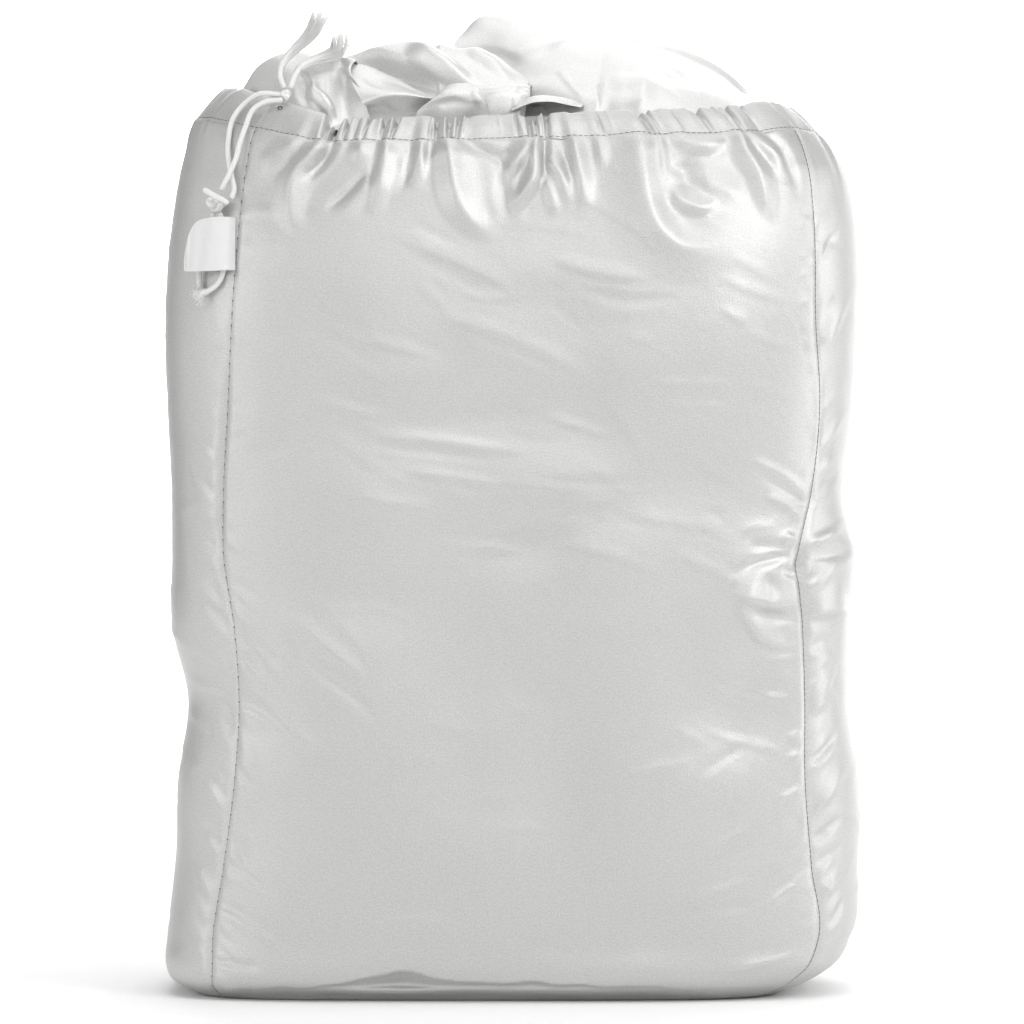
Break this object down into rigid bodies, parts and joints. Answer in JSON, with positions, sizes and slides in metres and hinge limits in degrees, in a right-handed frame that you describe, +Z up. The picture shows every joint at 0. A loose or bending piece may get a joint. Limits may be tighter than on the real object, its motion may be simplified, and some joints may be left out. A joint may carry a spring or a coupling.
{
  "type": "car cover packed in its drawstring storage bag",
  "caption": "Silver-coated car cover folded into an upright drawstring storage bag with seamed side gussets, a gathered hem, a knotted cord and a small sewn label.",
  "frame": {"origin": "middle of the base, on the surface that the bag stands on", "axes": "+Z up, the bag's front faces -Y, +X to the viewer's right"},
  "size_m": [0.3163, 0.19, 0.4501],
  "materials": {
    "bag_cloth": "silver-coated woven polyester, soft metallic sheen",
    "cover_cloth": "silver-coated woven polyester, soft metallic sheen",
    "cord": "matt white braided cord",
    "label_cloth": "bare white woven label, slightly sheer"
  },
  "bodies": {
    "root": {"front": "bag_cloth", "right_gusset": "bag_cloth", "back": "bag_cloth", "left_gusset": "bag_cloth", "base": "bag_cloth", "packed_cover": "cover_cloth", "size_label": "label_cloth", "strand_outer": "cord", "strand_inner": "cord", "tail_left": "cord", "tail_right": "cord", "upper_tail_left": "cord", "upper_tail_right": "cord", "hem_knot": "cord", "big_knot": "cord", "knot_wrap": "cord", "fray_left": "cord", "fray_right": "cord", "upper_fray_left": "cord", "upper_fray_right": "cord"}
  },
  "joints": []
}
